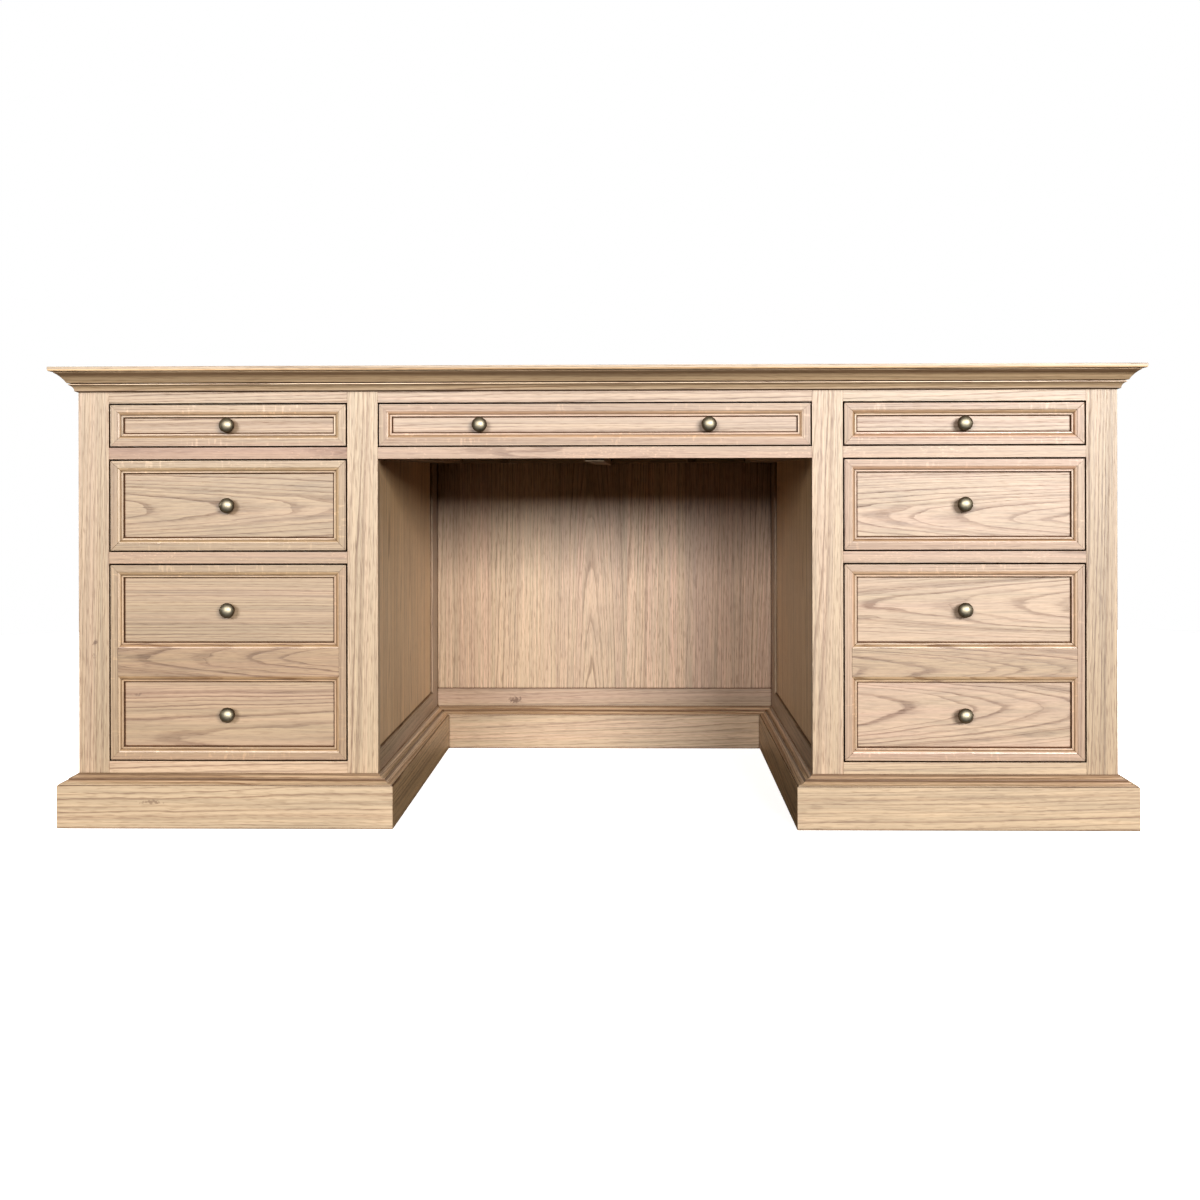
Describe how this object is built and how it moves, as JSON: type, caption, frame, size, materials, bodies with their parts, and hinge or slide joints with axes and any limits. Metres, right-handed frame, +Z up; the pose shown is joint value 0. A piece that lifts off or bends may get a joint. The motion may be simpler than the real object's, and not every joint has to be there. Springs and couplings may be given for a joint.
{
  "type": "pedestal desk",
  "caption": "Free-standing oak kneehole desk with two drawer pedestals, a centre drawer, moulded top edge, panelled back and sides, a stepped plinth and round brass knobs.",
  "frame": {"origin": "on the floor under the middle of the top", "axes": "+X to the sitter's right along the desk, +Y from the drawers to the back, +Z up"},
  "size_m": [1.8, 0.9, 0.762],
  "materials": {
    "oak": "satin lacquer",
    "drawer_wood": "sealed, matt",
    "framing_wood": "bare, planed",
    "antique_brass": "aged, polished",
    "slide_steel": "zinc plated",
    "screw_steel": "plated"
  },
  "bodies": {
    "carcass": {"back_frame": "oak", "bed_moulding": "oak", "centre_drawer_framing": "framing_wood", "centre_drawer_rails": "oak", "desk_top_panel": "oak", "drawer_guides": "framing_wood", "file_slide_outers": "slide_steel", "kneehole_back_panel": "oak", "left_back_panel": "oak", "left_base_moulding": "oak", "left_drawer_rails": "oak", "left_inner_panel": "oak", "left_inner_stile": "oak", "left_outer_panel": "oak", "left_outer_stile": "oak", "left_plinth": "oak", "left_runner_frames": "framing_wood", "left_side_frames": "oak", "pedestal_bottoms": "framing_wood", "rear_base_moulding": "oak", "rear_plinth": "oak", "right_back_panel": "oak", "right_base_moulding": "oak", "right_drawer_rails": "oak", "right_inner_panel": "oak", "right_inner_stile": "oak", "right_outer_panel": "oak", "right_outer_stile": "oak", "right_plinth": "oak", "right_runner_frames": "framing_wood", "right_side_frames": "oak", "slide_packers": "framing_wood", "top_cleats": "framing_wood", "top_lipping": "oak", "top_screws": "screw_steel"},
    "left_top_drawer": {"left_top_drawer_box": "drawer_wood", "left_top_drawer_front": "oak", "left_top_drawer_knob": "antique_brass"},
    "left_middle_drawer": {"left_middle_drawer_box": "drawer_wood", "left_middle_drawer_front": "oak", "left_middle_drawer_knob": "antique_brass"},
    "left_file_drawer": {"left_file_drawer_box": "drawer_wood", "left_file_drawer_front": "oak", "left_file_drawer_knobs": "antique_brass", "left_file_slide_inner": "slide_steel"},
    "centre_drawer": {"centre_drawer_box": "drawer_wood", "centre_drawer_front": "oak", "centre_drawer_knobs": "antique_brass"},
    "right_top_drawer": {"right_top_drawer_box": "drawer_wood", "right_top_drawer_front": "oak", "right_top_drawer_knob": "antique_brass"},
    "right_middle_drawer": {"right_middle_drawer_box": "drawer_wood", "right_middle_drawer_front": "oak", "right_middle_drawer_knob": "antique_brass"},
    "right_file_drawer": {"right_file_drawer_box": "drawer_wood", "right_file_drawer_front": "oak", "right_file_drawer_knobs": "antique_brass", "right_file_slide_inner": "slide_steel"},
    "left_file_slide_middles": {"left_file_slide_middle": "slide_steel"},
    "right_file_slide_middles": {"right_file_slide_middle": "slide_steel"}
  },
  "joints": [
    {"name": "left_top_drawer_slide", "type": "slide", "parent": "carcass", "child": "left_top_drawer", "axis": [0, -1, 0], "range_m": [0, 0.5]},
    {"name": "left_middle_drawer_slide", "type": "slide", "parent": "carcass", "child": "left_middle_drawer", "axis": [0, -1, 0], "range_m": [0, 0.5]},
    {"name": "left_file_drawer_slide", "type": "slide", "parent": "carcass", "child": "left_file_drawer", "axis": [0, -1, 0], "range_m": [0, 0.6]},
    {"name": "centre_drawer_slide", "type": "slide", "parent": "carcass", "child": "centre_drawer", "axis": [0, -1, 0], "range_m": [0, 0.5]},
    {"name": "right_top_drawer_slide", "type": "slide", "parent": "carcass", "child": "right_top_drawer", "axis": [0, -1, 0], "range_m": [0, 0.5]},
    {"name": "right_middle_drawer_slide", "type": "slide", "parent": "carcass", "child": "right_middle_drawer", "axis": [0, -1, 0], "range_m": [0, 0.5]},
    {"name": "right_file_drawer_slide", "type": "slide", "parent": "carcass", "child": "right_file_drawer", "axis": [0, -1, 0], "range_m": [0, 0.6]},
    {"name": "left_file_middle_slide", "type": "slide", "parent": "carcass", "child": "left_file_slide_middles", "axis": [0, -1, 0], "range_m": [0, 0.3]},
    {"name": "right_file_middle_slide", "type": "slide", "parent": "carcass", "child": "right_file_slide_middles", "axis": [0, -1, 0], "range_m": [0, 0.3]}
  ],
  "couplings": [
    {"joint": "left_file_middle_slide", "follows": "left_file_drawer_slide", "ratio": 0.5},
    {"joint": "right_file_middle_slide", "follows": "right_file_drawer_slide", "ratio": 0.5}
  ]
}
